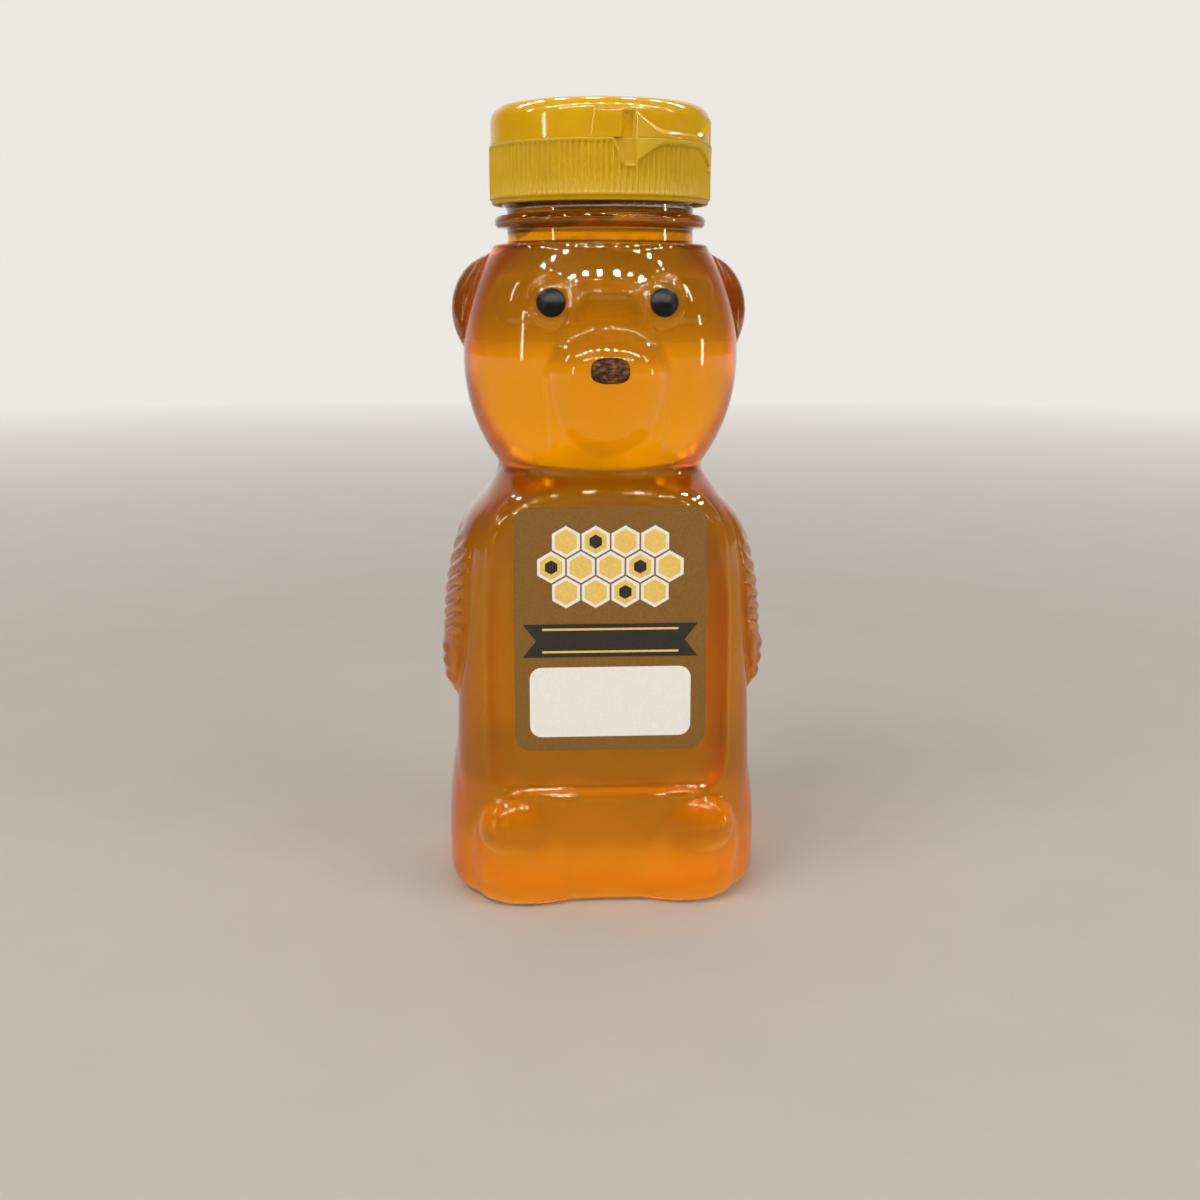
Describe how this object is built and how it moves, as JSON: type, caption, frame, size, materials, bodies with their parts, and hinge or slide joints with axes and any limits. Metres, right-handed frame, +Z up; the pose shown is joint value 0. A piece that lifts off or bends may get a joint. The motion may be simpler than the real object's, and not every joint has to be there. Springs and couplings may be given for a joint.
{
  "type": "bear-shaped honey bottle",
  "caption": "Clear bear-shaped squeeze bottle filled with honey, with a flat label panel and a yellow screw-on closure with a butterfly-hinged flip lid.",
  "frame": {"origin": "on the floor under the middle of the part's bounding box; the neck axis stands 3.4 mm behind it", "axes": "+Z up along the neck, the bear faces -Y, its left arm as the viewer sees it is at -X"},
  "size_m": [0.0614, 0.0552, 0.1466],
  "materials": {
    "clear_plastic": "clear gloss",
    "honey": "clear amber liquid",
    "label_paper": "satin printed paper",
    "eye_black": "gloss",
    "nose_brown": "rough print",
    "gasket_foam": "matte foam",
    "closure_yellow": "semi-gloss"
  },
  "bodies": {
    "bottle": {"bottle": "clear_plastic", "honey_fill": "honey", "front_label": "label_paper", "eye_left": "eye_black", "eye_right": "eye_black", "nose_pad": "nose_brown"},
    "gasket": {"neck_gasket": "gasket_foam"},
    "closure": {"closure_base": "closure_yellow"},
    "lid": {"flip_lid": "closure_yellow"}
  },
  "joints": [
    {"name": "cap_rise", "type": "slide", "parent": "bottle", "child": "gasket", "axis": [0, 0, 1], "range_m": [0, 0.0048]},
    {"name": "cap_turn", "type": "hinge", "parent": "gasket", "child": "closure", "pos_m": [0, 0.00341, 0.1379], "axis": [0, 0, 1], "range_deg": [0, 400]},
    {"name": "lid_flip", "type": "hinge", "parent": "closure", "child": "lid", "pos_m": [0.01412, -0.01227, 0.13955], "axis": [0.7431, 0.6691, 0], "range_deg": [0, 160]}
  ],
  "couplings": [
    {"joint": "cap_rise", "follows": "cap_turn", "m_per_rad": 0.0006737}
  ]
}
